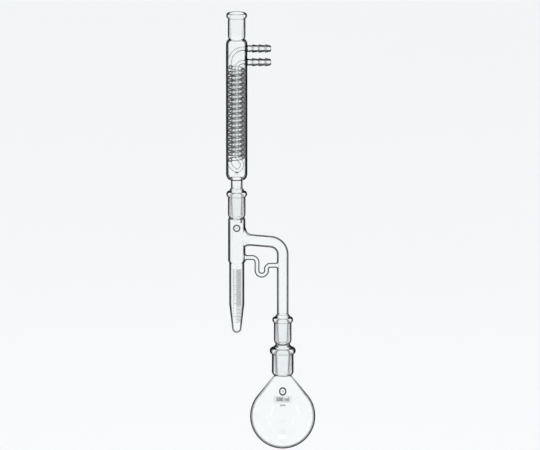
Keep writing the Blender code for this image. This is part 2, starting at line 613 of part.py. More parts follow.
def make_condenser(glass, body):
    x = -AXIS_SPACING
    socket("condenser_socket", SMALL, CONDENSER_RIM_Z, glass, body, x)

    upper_z, lower_z = CONDENSER_WAIST_Z - WELD_GAP, STEM_WELD_Z
    wall = [
        *arc((SMALL.waist, JACKET_TOP_Z), (JACKET_SHOULDER, upper_z - JACKET_TOP_Z), 90, 0, 6),
        *arc(
            (STEM_RADIUS, JACKET_BASE_Z),
            (JACKET_RADIUS - STEM_RADIUS, JACKET_BASE_Z - lower_z - WELD_GAP), 0, -90, 6,
        ),
        (STEM_RADIUS, lower_z),
    ]
    bore = [
        *arc(
            (SMALL.waist - TUBE_WALL, JACKET_TOP_Z - TUBE_WALL),
            (JACKET_SHOULDER, upper_z - JACKET_TOP_Z), 90, 0, 6,
        ),
        *arc(
            (STEM_RADIUS - TUBE_WALL, JACKET_BASE_Z + TUBE_WALL),
            (JACKET_RADIUS - STEM_RADIUS, JACKET_BASE_Z - lower_z - WELD_GAP), 0, -90, 6,
        ),
        (STEM_RADIUS - TUBE_WALL, lower_z),
    ]
    bore.insert(0, (SMALL.waist - TUBE_WALL, upper_z))
    jacket = turned("condenser_jacket", wall + bore[::-1], glass, body, x)
    core = cylinder_cutter(
        "jacket_core", JACKET_RADIUS + WELD_GAP, in_plane(x, JACKET_BASE_Z), in_plane(x, JACKET_TOP_Z)
    )
    for name, z in (("water_outlet_nozzle", OUTLET_Z), ("water_inlet_nozzle", INLET_Z)):
        reach = in_plane(x + JACKET_RADIUS * 2, z)
        cut(jacket, cylinder_cutter(name + "_hole", COIL_TUBE_RADIUS + WELD_GAP, in_plane(x, z), reach))
        cut(nozzle(name, z, glass, body, x), core)

    tube_end = x + JACKET_RADIUS - WELD_GAP
    head = rounded_route(
        [
            in_plane(x - COIL_RADIUS, COIL_HEAD_Z),
            in_plane(x - COIL_RADIUS, OUTLET_Z),
            in_plane(tube_end, OUTLET_Z),
        ],
        [OUTLET_BEND],
    )
    bent_tube("cooling_coil", coil_route(x)[:-1] + head, COIL_TUBE_RADIUS, 0, glass, body)

    inner_run = rounded_route(
        [in_plane(x, RETURN_FOOT_Z), in_plane(x, INLET_Z), in_plane(tube_end, INLET_Z)], [INLET_BEND]
    )
    bent_tube("coil_return_tube", inner_run, COIL_TUBE_RADIUS, COIL_WALL, glass, body)

    inner_end = in_plane(x, RETURN_FOOT_Z - WELD_GAP)
    outer_end = in_plane(x - COIL_RADIUS, COIL_FOOT_Z - WELD_GAP)
    loop = [inner_end, inner_end - in_plane(0, WELD_LAND)]
    loop += side_step(loop[-1], in_plane(x + DRIP_LOOP_RIGHT, DRIP_LOOP_Z))
    right_side = arc((0, DRIP_LOOP_Z), (DRIP_LOOP_RIGHT, DRIP_LOOP_DEPTH), -15, -90, 5)
    left_side = arc((0, DRIP_LOOP_Z), (COIL_RADIUS, DRIP_LOOP_DEPTH), -105, -180, 5)
    loop += [in_plane(x + across, z) for across, z in right_side + left_side]
    bent_tube("coil_drip_bend", loop + [outer_end], COIL_TUBE_RADIUS, COIL_WALL, glass, body)

    point_z = DRIP_LOOP_Z - DRIP_LOOP_DEPTH - COIL_TUBE_RADIUS - WELD_GAP
    drop = [(0, point_z), (DRIP_POINT_RADIUS, point_z)]
    drop += [(DRIP_POINT_TIP_RADIUS, point_z - DRIP_POINT_LENGTH / 2), (0, point_z - DRIP_POINT_LENGTH)]
    turned("drip_point", drop, glass, body, x, segments=12, closed=False)

    tip = cone(
        "condenser_cone", SMALL, RECEIVER_RIM_Z, STEM_RADIUS, STEM_WELD_Z - WELD_GAP, glass, body, x,
        drip_tube=DRIP_TUBE_LENGTH,
    )
    low_z = RECEIVER_RIM_Z - MOUTH_LEAD - SMALL_LENGTH - DRIP_TUBE_LENGTH
    block = SMALL_LENGTH
    bpy.ops.mesh.primitive_cube_add(size=block)
    slant_cutter = as_cutter(bpy.context.object, "drip_slant", (0, DRIP_TUBE_SLANT, 0))
    down = Vector((-math.sin(DRIP_TUBE_SLANT), 0, -math.cos(DRIP_TUBE_SLANT)))
    lowest = in_plane(x + DRIP_TUBE_RADIUS - TUBE_WALL / 2, low_z)
    slant_cutter.location = lowest + down * (block / 2)
    cut(tip, slant_cutter)


def body_empty(name, x, parent=None):
    """The empty that carries one glass body, on the axis of the joint that the body moves on."""
    empty = bpy.data.objects.new(name, None)
    empty.empty_display_size = EMPTY_SIZE
    model.objects.link(empty)
    if parent:
        empty.parent = parent
    empty.location = Vector((x, 0, 0)) - (parent.location if parent else Vector())
    bpy.context.view_layer.update()
    return empty


def main():
    start_scene()
    glass = principled("borosilicate_glass", (0.93, 0.96, 0.97), 0.03, transmission=0.9)
    enamel = principled("printed_enamel", (0.30, 0.31, 0.33), 0.5)
    flask = body_empty("flask_body", 0)
    adapter = body_empty("adapter_body", 0, flask)
    receiver = body_empty("receiver_body", 0, adapter)
    condenser = body_empty("condenser_body", -AXIS_SPACING, receiver)
    make_flask(glass, enamel, flask)
    make_adapter(glass, adapter)
    make_receiver(glass, enamel, receiver)
    make_condenser(glass, condenser)


main()
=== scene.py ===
import math

import bpy
from mathutils import Matrix, Vector


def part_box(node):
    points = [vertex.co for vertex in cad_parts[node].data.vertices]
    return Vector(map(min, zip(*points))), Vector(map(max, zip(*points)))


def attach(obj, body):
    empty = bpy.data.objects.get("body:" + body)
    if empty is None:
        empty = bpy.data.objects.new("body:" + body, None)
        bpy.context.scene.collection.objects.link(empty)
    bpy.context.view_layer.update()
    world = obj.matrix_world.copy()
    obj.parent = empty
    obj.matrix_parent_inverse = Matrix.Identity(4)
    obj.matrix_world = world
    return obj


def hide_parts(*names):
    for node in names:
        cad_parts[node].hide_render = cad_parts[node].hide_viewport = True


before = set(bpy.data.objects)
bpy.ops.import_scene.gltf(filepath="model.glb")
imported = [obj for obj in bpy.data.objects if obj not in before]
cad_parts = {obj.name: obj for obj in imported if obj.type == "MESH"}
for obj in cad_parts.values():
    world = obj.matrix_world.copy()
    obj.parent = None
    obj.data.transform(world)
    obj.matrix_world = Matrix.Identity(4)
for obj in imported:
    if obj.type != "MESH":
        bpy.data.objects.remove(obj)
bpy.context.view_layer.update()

mm = 0.001
up = Vector((0, 0, 1))

# the two axes, from the frame's own boxes
nodeBox = {name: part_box(name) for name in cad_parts}
socketLow, socketHigh = nodeBox["receiver_socket"]
columnX = (socketLow.x + socketHigh.x) / 2
flaskX = 0.0


def zOf(node, end):
    return nodeBox[node][end].z  # end 0 is the lowest point, 1 the highest


def middleZ(node):
    return (zOf(node, 0) + zOf(node, 1)) / 2


def eased(share):
    return (3 - 2 * share) * share ** 2  # 0 to 1, level at both ends


def steps(count):
    return [step / count for step in range(count + 1)]  # 0 to 1, both with it


class Signal:
    # a socket; sums and products of it add Math nodes
    def __init__(self, finish, socket):
        self.finish = finish
        self.socket = socket

    def math(self, operation, first, second):
        return self.finish.node("ShaderNodeMath", {"operation": operation}, {0: first, 1: second})

    def __add__(self, other):
        return self.math("ADD", self, other)

    def __sub__(self, other):
        return self.math("SUBTRACT", self, other)

    def __rsub__(self, other):
        return self.math("SUBTRACT", other, self)

    def __mul__(self, other):
        return self.math("MULTIPLY", self, other)

    __radd__ = __add__
    __rmul__ = __mul__

    def ramp(self, low, high):
        # 0 below low, 1 above high, smooth between
        settings = {"interpolation_type": "SMOOTHSTEP"}
        return self.finish.node("ShaderNodeMapRange", settings, {"Value": self, 1: low, 2: high})


class Finish:
    # one material and its nodes
    def __init__(self, name):
        self.material = bpy.data.materials.new(name)
        self.material.use_nodes = True
        self.tree = self.material.node_tree
        self.tree.nodes.clear()
        self.output = self.tree.nodes.new("ShaderNodeOutputMaterial")
        self.place = self.node("ShaderNodeTexCoord", out="Object")

    def node(self, kind, settings=None, values=None, out=0):
        made = self.tree.nodes.new(kind)
        for key, value in (settings or {}).items():
            setattr(made, key, value)
        for key, value in (values or {}).items():
            if isinstance(value, Signal):
                self.tree.links.new(value.socket, made.inputs[key])
            else:
                made.inputs[key].default_value = value
        return Signal(self, made.outputs[out])

    def mixed(self, share, first, second):
        settings = {"data_type": "RGBA"}
        return self.node("ShaderNodeMix", settings, {0: share, 6: first, 7: second}, out=2)

    def noise(self, scale, detail=2.0, stretch=(1, 1, 1)):
        place = self.node("ShaderNodeMapping", None, {"Vector": self.place, "Scale": stretch})
        values = {"Vector": place, "Scale": scale, "Detail": detail}
        return self.node("ShaderNodeTexNoise", None, values)

    def bump(self, height, strength, distance):
        values = {"Height": height, "Strength": strength, "Distance": distance}
        return self.node("ShaderNodeBump", None, values, out="Normal")

    def shader(self, **values):
        sockets = {key.replace("_", " "): value for key, value in values.items()}
        return self.node("ShaderNodeBsdfPrincipled", None, sockets)

    def blended(self, share, first, second):
        return self.put(self.node("ShaderNodeMixShader", None, {0: share, 1: first, 2: second}))

    def put(self, shader):
        self.tree.links.new(shader.socket, self.output.inputs["Surface"])
        return self.material

    def surface(self, **values):
        return self.put(self.shader(**values))


clearGlassLook = {
    "clear": (0.985, 0.992, 0.990, 1),
    "smudge": (0.965, 0.972, 0.970, 1),
    "edge": (0.004, 0.005, 0.006, 1),  # painted shade: near black, mixed in where a wall is seen edge-on
    "edgeRoughness": 0.3,
    "edgeGloss": 0.0,
    "paintedShadeShare": 0.98,
    "polish": 0.002,
    "smear": 0.012,
    "ior": 1.473,
    "waviness": 0.02 * mm,
    # the slant from which the painted shade starts on a wall, and where it is fullest
    "bulb": (0.66, 0.78),
    "tube": (0.35, 0.54),
    "thin": (0.38, 0.60),
    "fine": (0.22, 0.40),
}


def paintShadeOnEdges(glass, look, slants, shader):
    # painted shade: a near-black shader is mixed in where a round wall is seen edge-on, for the
    # dark edges of glass
    facing = glass.node("ShaderNodeLayerWeight", None, {"Blend": 0.5}, out="Facing")
    # the painted shade itself, a dark shader with no transmission
    edge = glass.shader(
        Base_Color=look["edge"],
        Roughness=look["edgeRoughness"],
        Specular_IOR_Level=look["edgeGloss"],
    )
    return glass.blended(facing.ramp(*slants) * look["paintedShadeShare"], shader, edge)


def makeClearGlass(kind):
    look = clearGlassLook
    glass = Finish(kind + "Glass")
    draw = glass.noise(90, 2, (1, 1, 0.12))  # drawing lines run along the tubes
    smudge = glass.noise(35, 4).ramp(0.55, 0.8)
    clear = glass.shader(
        Base_Color=glass.mixed(smudge * 0.5, look["clear"], look["smudge"]),
        Roughness=smudge * look["smear"] + look["polish"],
        IOR=look["ior"],
        Transmission_Weight=1.0,
        Normal=glass.bump(draw, 0.25, look["waviness"]),
    )
    return paintShadeOnEdges(glass, look, look[kind], clear)


groundGlassLook = {
    "colour": (0.975, 0.985, 0.985, 1),
    # painted shade: dark grey, mixed in where the ground wall is seen edge-on
    "edge": (0.10, 0.11, 0.115, 1),
    "edgeRoughness": 0.5,
    "edgeGloss": 0.15,
    "paintedShadeShare": 0.75,
    "paintedShadeFrom": (0.45, 0.80),
    "roughness": 0.10,
    "grain": 0.03 * mm,
    "ior": 1.473,
}


def makeGroundGlass():
    look = groundGlassLook
    glass = Finish("groundGlass")
    grain = glass.noise(2600, 3)
    rings = glass.noise(700, 2, (0.15, 0.15, 4))  # the lap's turning marks
    ground = glass.shader(
        Base_Color=look["colour"],
        Roughness=grain * 0.08 + rings * 0.05 + look["roughness"],
        IOR=look["ior"],
        Transmission_Weight=1.0,
        Normal=glass.bump(grain + rings * 0.5, 0.35, look["grain"]),
    )
    # painted shade on the edges, as on the clear glass
    return paintShadeOnEdges(glass, look, look["paintedShadeFrom"], ground)


enamelLook = {
    "colour": (0.020, 0.021, 0.023, 1),
    "worn": (0.09, 0.093, 0.096, 1),
    "roughness": 0.42,
    "coat": 0.15,
}


def makeEnamel():
    look = enamelLook
    enamel = Finish("greyEnamel")
    wear = enamel.noise(900, 4).ramp(0.45, 0.75)
    return enamel.surface(
        Base_Color=enamel.mixed(wear * 0.6, look["colour"], look["worn"]),
        Roughness=wear * 0.2 + look["roughness"],
        Coat_Weight=look["coat"],
        Normal=enamel.bump(enamel.noise(4000, 2), 0.2, 0.01 * mm),
    )


patchLook = {
    "colour": (0.80, 0.81, 0.80, 1),
    "rubbed": (0.66, 0.68, 0.68, 1),
    "roughness": 0.6,
    "cover": 0.6,
}


def makePatchEnamel():
    look = patchLook
    enamel = Finish("whiteEnamel")
    rubbed = enamel.noise(260, 5).ramp(0.5, 0.8)
    tooth = enamel.noise(5200, 2)
    return enamel.surface(
        Base_Color=enamel.mixed(rubbed, look["colour"], look["rubbed"]),
        Roughness=rubbed * 0.15 + look["roughness"],
        Alpha=look["cover"] - rubbed * 0.15,
        Normal=enamel.bump(tooth, 0.3, 0.02 * mm),
    )


floorLook = {
    "size": 40.0,
    "below": 0.17,
    "colour": (0.86, 0.865, 0.87, 1),
    "cloud": (0.84, 0.847, 0.855, 1),
    "roughness": 0.6,
}


def makeFloorFinish():
    look = floorLook
    floor = Finish("paleFloor")
    cloud = floor.noise(0.7, 3)
    grain = floor.noise(180, 3)
    return floor.surface(
        Base_Color=floor.mixed(cloud, look["colour"], look["cloud"]),
        Roughness=grain * 0.08 + look["roughness"],
        Normal=floor.bump(grain, 0.05, 0.1 * mm),
    )


bulbGlass = makeClearGlass("bulb")
tubeGlass = makeClearGlass("tube")
thinGlass = makeClearGlass("thin")
fineGlass = makeClearGlass("fine")
groundGlass = makeGroundGlass()
greyEnamel = makeEnamel()
whiteEnamel = makePatchEnamel()
print("finishes made")


def deselect():
    if bpy.context.object and bpy.context.object.mode != "OBJECT":
        bpy.ops.object.mode_set(mode="OBJECT")
    bpy.ops.object.select_all(action="DESELECT")


def choose(*pieces):
    deselect()
    for piece in pieces:
        piece.select_set(True)
    bpy.context.view_layer.objects.active = pieces[0]


def editAll():
    bpy.ops.object.mode_set(mode="EDIT")
    bpy.ops.mesh.select_all(action="SELECT")


def applyPlace():
    bpy.ops.object.transform_apply(location=True, rotation=True, scale=True)


def modified(piece, kind, **settings):
    choose(piece)
    modifier = piece.modifiers.new(kind, kind)
    for key, value in settings.items():
        setattr(modifier, key, value)
    bpy.ops.object.modifier_apply(modifier=modifier.name)


def named(name):
    piece = bpy.context.object
    piece.name = name
    piece.data.name = name
    return piece


def arcPoints(centre, radii, start, end, count):
    # from one angle to another, in degrees, round a circle or an oval
    found = []
    for share in steps(count):
        angle = math.radians(start + (end - start) * share)
        across = centre[0] + radii[0] * math.cos(angle)
        found.append((across, centre[1] + radii[1] * math.sin(angle)))
    return found


def traceOutline(name, points, closed=False):
    # one point, extruded from corner to corner
    if closed:
        points = points + points[:1]
    deselect()
    bpy.ops.mesh.primitive_plane_add(size=mm)
    piece = named(name)
    editAll()
    bpy.ops.mesh.merge(type="CENTER")
    bpy.ops.transform.translate(value=points[0])
    for start, end in zip(points, points[1:]):
        bpy.ops.mesh.extrude_region_move(TRANSFORM_OT_translate={"value": end - start})
    bpy.ops.mesh.select_all(action="SELECT")
    bpy.ops.mesh.remove_doubles(threshold=0.002 * mm)
    return piece


def cleanShell():
    bpy.ops.mesh.select_all(action="SELECT")
    bpy.ops.mesh.remove_doubles(threshold=0.004 * mm)
    bpy.ops.mesh.delete_loose(use_verts=True, use_edges=True, use_faces=False)
    bpy.ops.mesh.select_all(action="SELECT")
    bpy.ops.mesh.normals_make_consistent(inside=False)
    bpy.ops.object.mode_set(mode="OBJECT")


def turnPiece(name, outline, x, sides=96, closed=False):
    # outline is (radius, height) round an upright axis
    piece = traceOutline(name, [Vector((x + radius, 0, z)) for radius, z in outline], closed)
    bpy.ops.mesh.spin(steps=sides, angle=math.tau, center=(x, 0, 0), axis=(0, 0, 1))
    cleanShell()
    return piece


def turnSideways(name, outline, start, sides=64):
    # outline is (radius, distance) round an axis that runs to +X from start
    piece = traceOutline(name, [start + Vector((along, 0, radius)) for radius, along in outline])
    bpy.ops.mesh.spin(steps=sides, angle=math.tau, center=start, axis=(1, 0, 0))
    cleanShell()
    return piece


def sweepRod(name, start, heading, section, moves, sides=48):
    # a filled circle carried along runs and bends; a run may change its section
    deselect()
    turn = heading.to_track_quat("Z", "X").to_euler()
    bpy.ops.mesh.primitive_circle_add(
        vertices=sides, radius=1, fill_type="NGON", location=start, rotation=turn)
    piece = named(name)
    applyPlace()
    editAll()
    place = Vector(start)
    bpy.ops.transform.resize(value=section, center_override=place)
    size = Vector(section)
    for move in moves:
        if "bend" in move:
            bpy.ops.mesh.spin(
                steps=move["sides"], angle=-move["bend"], center=move["centre"], axis=(0, 1, 0))
            place = move["end"]
            continue
        bpy.ops.mesh.extrude_region_move(TRANSFORM_OT_translate={"value": move["to"] - place})
        place = move["to"]
        if "section" in move:
            wanted = Vector(move["section"])
            ratio = [new / old for new, old in zip(wanted, size)]
            bpy.ops.transform.resize(value=ratio, center_override=place)
            size = wanted
    cleanShell()
    return piece


def swung(arrow, turn):
    cosine, sine = math.cos(turn), math.sin(turn)
    return Vector((arrow.x * cosine + arrow.z * sine, 0, -arrow.x * sine + arrow.z * cosine))


def bendMove(start, heading, radius, turn, sides):
    # turn > 0 swings the heading from +X towards -Z; the new heading comes back too
    side = Vector((-heading.z, 0, heading.x)) * (-1 if turn > 0 else 1)
    centre = start + side * radius
    end = centre + swung(start - centre, turn)
    return {"bend": turn, "centre": centre, "end": end, "sides": sides}, swung(heading, turn)


def combine(piece, tool, operation):
    modified(piece, "BOOLEAN", operation=operation, object=tool, solver="EXACT")
    bpy.data.objects.remove(tool)


def finishPiece(piece, body, nodes, finishes, angle=35):
    # a piece that stands for no node is given an empty list
    choose(piece)
    bpy.ops.object.shade_smooth_by_angle(angle=math.radians(angle))
    piece.data.materials.clear()
    for finish in finishes:
        piece.data.materials.append(finish)
    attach(piece, body)
    if nodes:
        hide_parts(*nodes)
    print("  piece", piece.name, len(piece.data.polygons), "faces")


def grindBand(piece, x, kind, rim, cone):
    # the ground zone of a taper joint, outside on a cone and inside in a socket
    high = rim - jointFit["lead"]
    low = high - joints[kind]["length"] + (jointFit["coneRound"][1] if cone else 0)
    for face in piece.data.polygons:
        centre = face.center
        if low - slack < centre.z < high + slack:
            across = Vector((centre.x - x, centre.y, 0))
            looksOut = face.normal.dot(across) > 0
            if looksOut == cone and across.length < jointFit["widest"]:
                face.material_index = 1


# the taper joints: radii, lengths and heights
joints = {
    "small": {
        "mouth": 12.0 * mm,
        "end": 10.0 * mm,
        "length": 40.0 * mm,
        "body": 14.0 * mm,
        "bead": 16.5 * mm,
        "beadHeight": 8.0 * mm,
        "waist": 11.5 * mm,
    },
    "large": {
        "mouth": 14.6 * mm,
        "end": 12.5 * mm,
        "length": 42.0 * mm,
        "body": 17.3 * mm,
        "bead": 20.7 * mm,
        "beadHeight": 9.5 * mm,
        "waist": 14.0 * mm,
    },
}
jointFit = {
    "lead": 0.6 * mm,  # from the rim to the start of the taper
    "land": 0.8 * mm,
    "seat": 0.3 * mm,
    "collar": 1.5 * mm,
    "shoulder": 5.0 * mm,
    "footRound": 5.0 * mm,
    "beadRound": 1.1 * mm,
    "coneWall": 2.0 * mm,
    "coneRound": (0.5 * mm, 0.6 * mm),
    "coneMouth": 0.3 * mm,
    "widest": 20.0 * mm,
}
tubeWall = 1.5 * mm
waistLand = 0.6 * mm
stationStep = 2.5 * mm  # rings this close keep the shading clean round the cuts
slack = 0.01 * mm


def socketOutside(kind, rim, waistZ):
    size = joints[kind]
    middle = size["mouth"] + (size["bead"] - size["mouth"]) / 2
    half = size["beadHeight"] / 2
    points = [(size["mouth"] + jointFit["land"], rim)]
    points += arcPoints((middle, rim - half), (size["bead"] - middle, half), 90, -52, 18)
    under = jointFit["beadRound"]
    underZ = rim - size["beadHeight"] - 0.5 * mm
    points += arcPoints((size["body"] + under, underZ), (under, under), 120, 180, 5)
    foot = jointFit["footRound"]
    radii = (size["body"] - size["waist"], foot)
    points += arcPoints((size["waist"], waistZ + foot), radii, 0, -78, 12)
    return points


def socketInside(kind, rim):
    size = joints[kind]
    top = rim - jointFit["lead"]
    land = jointFit["land"]
    lip = arcPoints((size["mouth"] + land, top), (land, jointFit["lead"]), 105, 180, 4)
    return lip + [(size["end"], top - size["length"])]


def coneSize(kind, rim, wall=0):
    # radii at a cone's top and end and the end's height, as it sits in a socket
    size = joints[kind]
    top = size["mouth"] - jointFit["seat"] - wall
    end = size["end"] - jointFit["seat"] - wall
    return top, end, rim - jointFit["lead"] - size["length"]


def coneOutside(kind, rim):
    # from the start of the taper down to the rounded end
    top, end, endZ = coneSize(kind, rim)
    roundIn, roundUp = jointFit["coneRound"]
    return [(top, rim - jointFit["lead"]), (end, endZ + roundUp), (end - roundIn, endZ)]


def coneShoulder(tube, coneTop, collarZ):
    # a tube widens smoothly into its cone
    return [
        (tube + (coneTop - tube) * eased(share), collarZ + jointFit["shoulder"] * (1 - share))
        for share in steps(8)
    ]


receiverShape = {
    "chamber": 13.8 * mm,
    "graduated": 12.0 * mm,
    "tip": 7.3 * mm,
    "tipTaper": 39.5 * mm,
    "shoulder": 4.0 * mm,
    "step": 2.6 * mm,
    "arm": 9.2 * mm,
    "armCorner": 106.2 * mm,  # above the riser's foot
    "armBend": 20.6 * mm,
    "armSlope": math.radians(5),
    "armFilletTop": 9.6 * mm,
    "armFilletFoot": 5.2 * mm,
    "armSwell": 1.3 * mm,
    "armRoot": 7.0 * mm,
    "return": 3.9 * mm,
    "returnWall": 1.1 * mm,
    "trapLeft": 40.8 * mm,
    "trapWidth": 15.0 * mm,
    "trapDepth": 28.7 * mm,
    "returnDrop": 12.7 * mm,
    "overflow": 7.0 * mm,
    "upperBend": 7.8 * mm,
    "lowerBend": 6.0 * mm,
    "chamberFillet": 4.2 * mm,
    "riserFillet": 3.0 * mm,
    "joinReach": 12.0 * mm,
    "armReach": 16.0 * mm,
    "returnReach": 6.0 * mm,
    "cutBelowRim": 0.02 * mm,
}


def tipSide(wide, wideZ, narrow, tipZ, count):
    # a straight taper that runs into a round tip
    distance = math.hypot(wide, wideZ - tipZ)
    touch = math.atan2(wideZ - tipZ, wide) - math.acos(narrow / distance)
    return [(wide, wideZ)] + arcPoints((0, tipZ), (narrow, narrow), math.degrees(touch), -90, count)


def between(start, end, step):
    # evenly spaced places from start to end, without both
    count = max(1, round(abs(end - start) / step))
    return [start + (end - start) * index / count for index in range(1, count)]


def columnSide(inset):
    # the receiver's upright column from its waist to its tip, or its bore when inset by the wall
    shape = receiverShape
    waistZ = zOf("receiver_socket", 0)
    baseZ = zOf("receiver_chamber", 0)
    tipZ = zOf("graduated_tube", 0) + shape["tip"]
    taperZ = tipZ + shape["tipTaper"]
    waist = joints["small"]["waist"] - inset
    chamber = shape["chamber"] - inset
    graduated = shape["graduated"] - inset
    shoulderZ = waistZ - 0.8 * mm - inset
    shoulder = shape["shoulder"]
    points = arcPoints((waist, shoulderZ - shoulder), (chamber - waist, shoulder), 78, 0, 10)
    stepTop = baseZ + shape["step"] - inset * 0.4
    points += [(chamber, z) for z in between(points[-1][1], stepTop, stationStep)]
    drop = chamber - graduated
    points += [
        (chamber - drop * eased(share), stepTop - (shape["step"] + drop) * share)
        for share in steps(8)
    ]
    return points + tipSide(graduated, taperZ, shape["tip"] - inset, tipZ, 16)


# all print is made flat in front of the glass and laid on it later
printShape = {
    "lift": 0.05 * mm,
    "thickness": 0.05 * mm,
    "away": 0.2,
    "bolder": 0.02,
}
scaleShape = {
    "top": 29,
    "lowest": 3,
    "line": 0.65 * mm,
    "right": 7.2 * mm,
    "long": 10.2 * mm,
    "middle": 8.8 * mm,
    "short": 7.4 * mm,
    "numberSize": 2.7 * mm,
    "numberX": -4.9 * mm,
}
ringShape = {"radius": 5.9 * mm, "line": 2.1 * mm, "sides": 40, "numberSize": 3.0 * mm}


def bisectAt(place, direction):
    bpy.ops.mesh.select_all(action="SELECT")
    bpy.ops.mesh.bisect(plane_co=place, plane_no=direction)


def flatPanel(name, x, z, width, height, corner):
    # a panel that faces the front, cut fine enough to be laid on round glass
    deselect()
    place = Vector((x, -printShape["away"], z))
    bpy.ops.mesh.primitive_plane_add(size=1, location=place, rotation=(math.pi / 2, 0, 0))
    piece = named(name)
    piece.scale = (width, height, 1)
    applyPlace()
    editAll()
    if corner:
        bpy.ops.mesh.bevel(offset=corner, segments=8, affect="VERTICES")
    for step in range(1, math.ceil(width / mm)):
        bisectAt((x - width / 2 + step * mm, 0, 0), (1, 0, 0))
    for step in range(1, math.ceil(height / mm)):
        bisectAt((0, 0, z - height / 2 + step * mm), (0, 0, 1))
    bpy.ops.object.mode_set(mode="OBJECT")
    return piece


def copied(piece, move):
    twin = piece.copy()
    twin.data = piece.data.copy()
    twin.data.transform(Matrix.Translation(move))
    bpy.context.collection.objects.link(twin)
    return twin


def flatText(text, size, x, z):
    deselect()
    bpy.ops.object.text_add()
    label = bpy.context.object
    label.data.body = text
    label.data.size = size
    label.data.align_x = "CENTER"
    label.data.align_y = "CENTER"
    label.data.offset = size * printShape["bolder"]
    label.data.resolution_u = 3
    label.rotation_euler = (math.pi / 2, 0, 0)
    label.location = (x, -printShape["away"], z)
    return label


def meshLabels(labels):
    # all texts become meshes at once, then their places are applied
    names = [label.name for label in labels]
    choose(*labels)
    bpy.ops.object.convert(target="MESH")
    applyPlace()
    return [bpy.data.objects[name] for name in names]


def flatRing(x, z):
    # the ring round the glass grade
    shape = ringShape
    deselect()
    bpy.ops.mesh.primitive_circle_add(
        vertices=shape["sides"], radius=shape["radius"], fill_type="NGON",
        location=(x, -printShape["away"], z), rotation=(math.pi / 2, 0, 0))
    ring = named("ring")
    applyPlace()
    editAll()
    bpy.ops.mesh.inset(thickness=shape["line"], depth=0)
    bpy.ops.mesh.delete(type="FACE")
    bpy.ops.object.mode_set(mode="OBJECT")
    return [ring] + meshLabels([flatText("3.3", shape["numberSize"], x, z)])


def joinAll(pieces, name):
    choose(*pieces)
    bpy.ops.object.join()
    return named(name)


def levelAt(volume):
    # the height to which the graduated bore holds a volume
    highest = zOf("receiver_chamber", 0) + 1 * mm
    profile = [(radius, z) for radius, z in columnSide(tubeWall)[::-1] if z < highest]
    filled = 0.0
    for (lowR, lowZ), (highR, highZ) in zip(profile, profile[1:]):
        height = highZ - lowZ
        part = math.pi * height * (lowR ** 2 + lowR * highR + highR ** 2) / 3
        if filled + part >= volume:
            return lowZ + height * (volume - filled) / part
        filled += part
    return profile[-1][1]


def flatScale():
    shape = scaleShape
    strokes, numbers, models = [], [], {}
    for mark in range(2 * shape["lowest"], 2 * shape["top"] + 1):  # every half millilitre
        z = levelAt(mark / 2 * 1e-6)
        kind = "long" if mark % 10 == 0 else "middle" if mark % 2 == 0 else "short"
        if kind not in models:
            middle = columnX + shape["right"] - shape[kind] / 2
            models[kind] = flatPanel("stroke", middle, 0, shape[kind], shape["line"], 0)
        strokes.append(copied(models[kind], up * z))
        if mark % 2 == 0:
            x = columnX + shape["numberX"]
            numbers.append(flatText(str(mark // 2), shape["numberSize"], x, z))
    for model in models.values():
        bpy.data.objects.remove(model)
    return joinAll(strokes, "graduationMarks"), joinAll(meshLabels(numbers), "graduationNumbers")


patchShape = {
    "width": 29.0 * mm,
    "height": 9.0 * mm,
    "corner": 1.8 * mm,
    "lower": 3.5 * mm,
    "capacitySize": 7.4 * mm,
    "ringRise": 11.2 * mm,
    "jointDrop": 8.2 * mm,
    "jointSize": 3.8 * mm,
}
receiverRingDrop = 15.4 * mm  # under the socket's waist


def flatPatch():
    shape = patchShape
    z = middleZ("write_on_patch") - shape["lower"]
    field = flatPanel("patchField", flaskX, z, shape["width"], shape["height"], shape["corner"])
    capacity = flatText("500 ml", shape["capacitySize"], flaskX, z)
    jointName = flatText("29/42", shape["jointSize"], flaskX, z - shape["jointDrop"])
    prints = meshLabels([capacity, jointName]) + flatRing(flaskX, z + shape["ringRise"])
    return field, joinAll(prints, "flaskPrint")


def layPrint(marks, glass, lift):
    # pushed back onto the glass, then given a body
    modified(
        marks, "SHRINKWRAP", wrap_method="PROJECT", wrap_mode="ABOVE_SURFACE", use_project_y=True,
        use_positive_direction=True, target=glass, offset=printShape["lift"] * lift)
    modified(marks, "SOLIDIFY", thickness=printShape["thickness"], offset=1)


graduationMarks, graduationNumbers = flatScale()
patchField, flaskPrint = flatPatch()
receiverPrint = joinAll(
    flatRing(columnX, zOf("receiver_socket", 0) - receiverRingDrop), "receiverPrint")
print("printing made flat")


flaskShape = {
    "radius": 51.95 * mm,
    "wall": 1.8 * mm,
    "neckRound": 4.0 * mm,
    "coneLean": math.radians(37),
    "neckGlass": 2.0 * mm,  # the neck's glass reaches this far under the waist
    "sides": 128,
}


def bulbSide(waist, waistZ, radius, centreZ):
    # neck, a small hollow curve, a straight cone and the ball under it
    hollow = flaskShape["neckRound"]
    cornerZ = waistZ - hollow * math.tan(flaskShape["coneLean"] / 2)
    distance = math.hypot(waist, cornerZ - centreZ)
    touch = math.atan2(cornerZ - centreZ, waist) - math.acos(radius / distance)
    lean = math.degrees(touch)
    neck = arcPoints((waist + hollow, waistZ), (hollow, hollow), 180, 180 + lean, 6)
    return neck + arcPoints((0, centreZ), (radius, radius), lean, -90, 40)


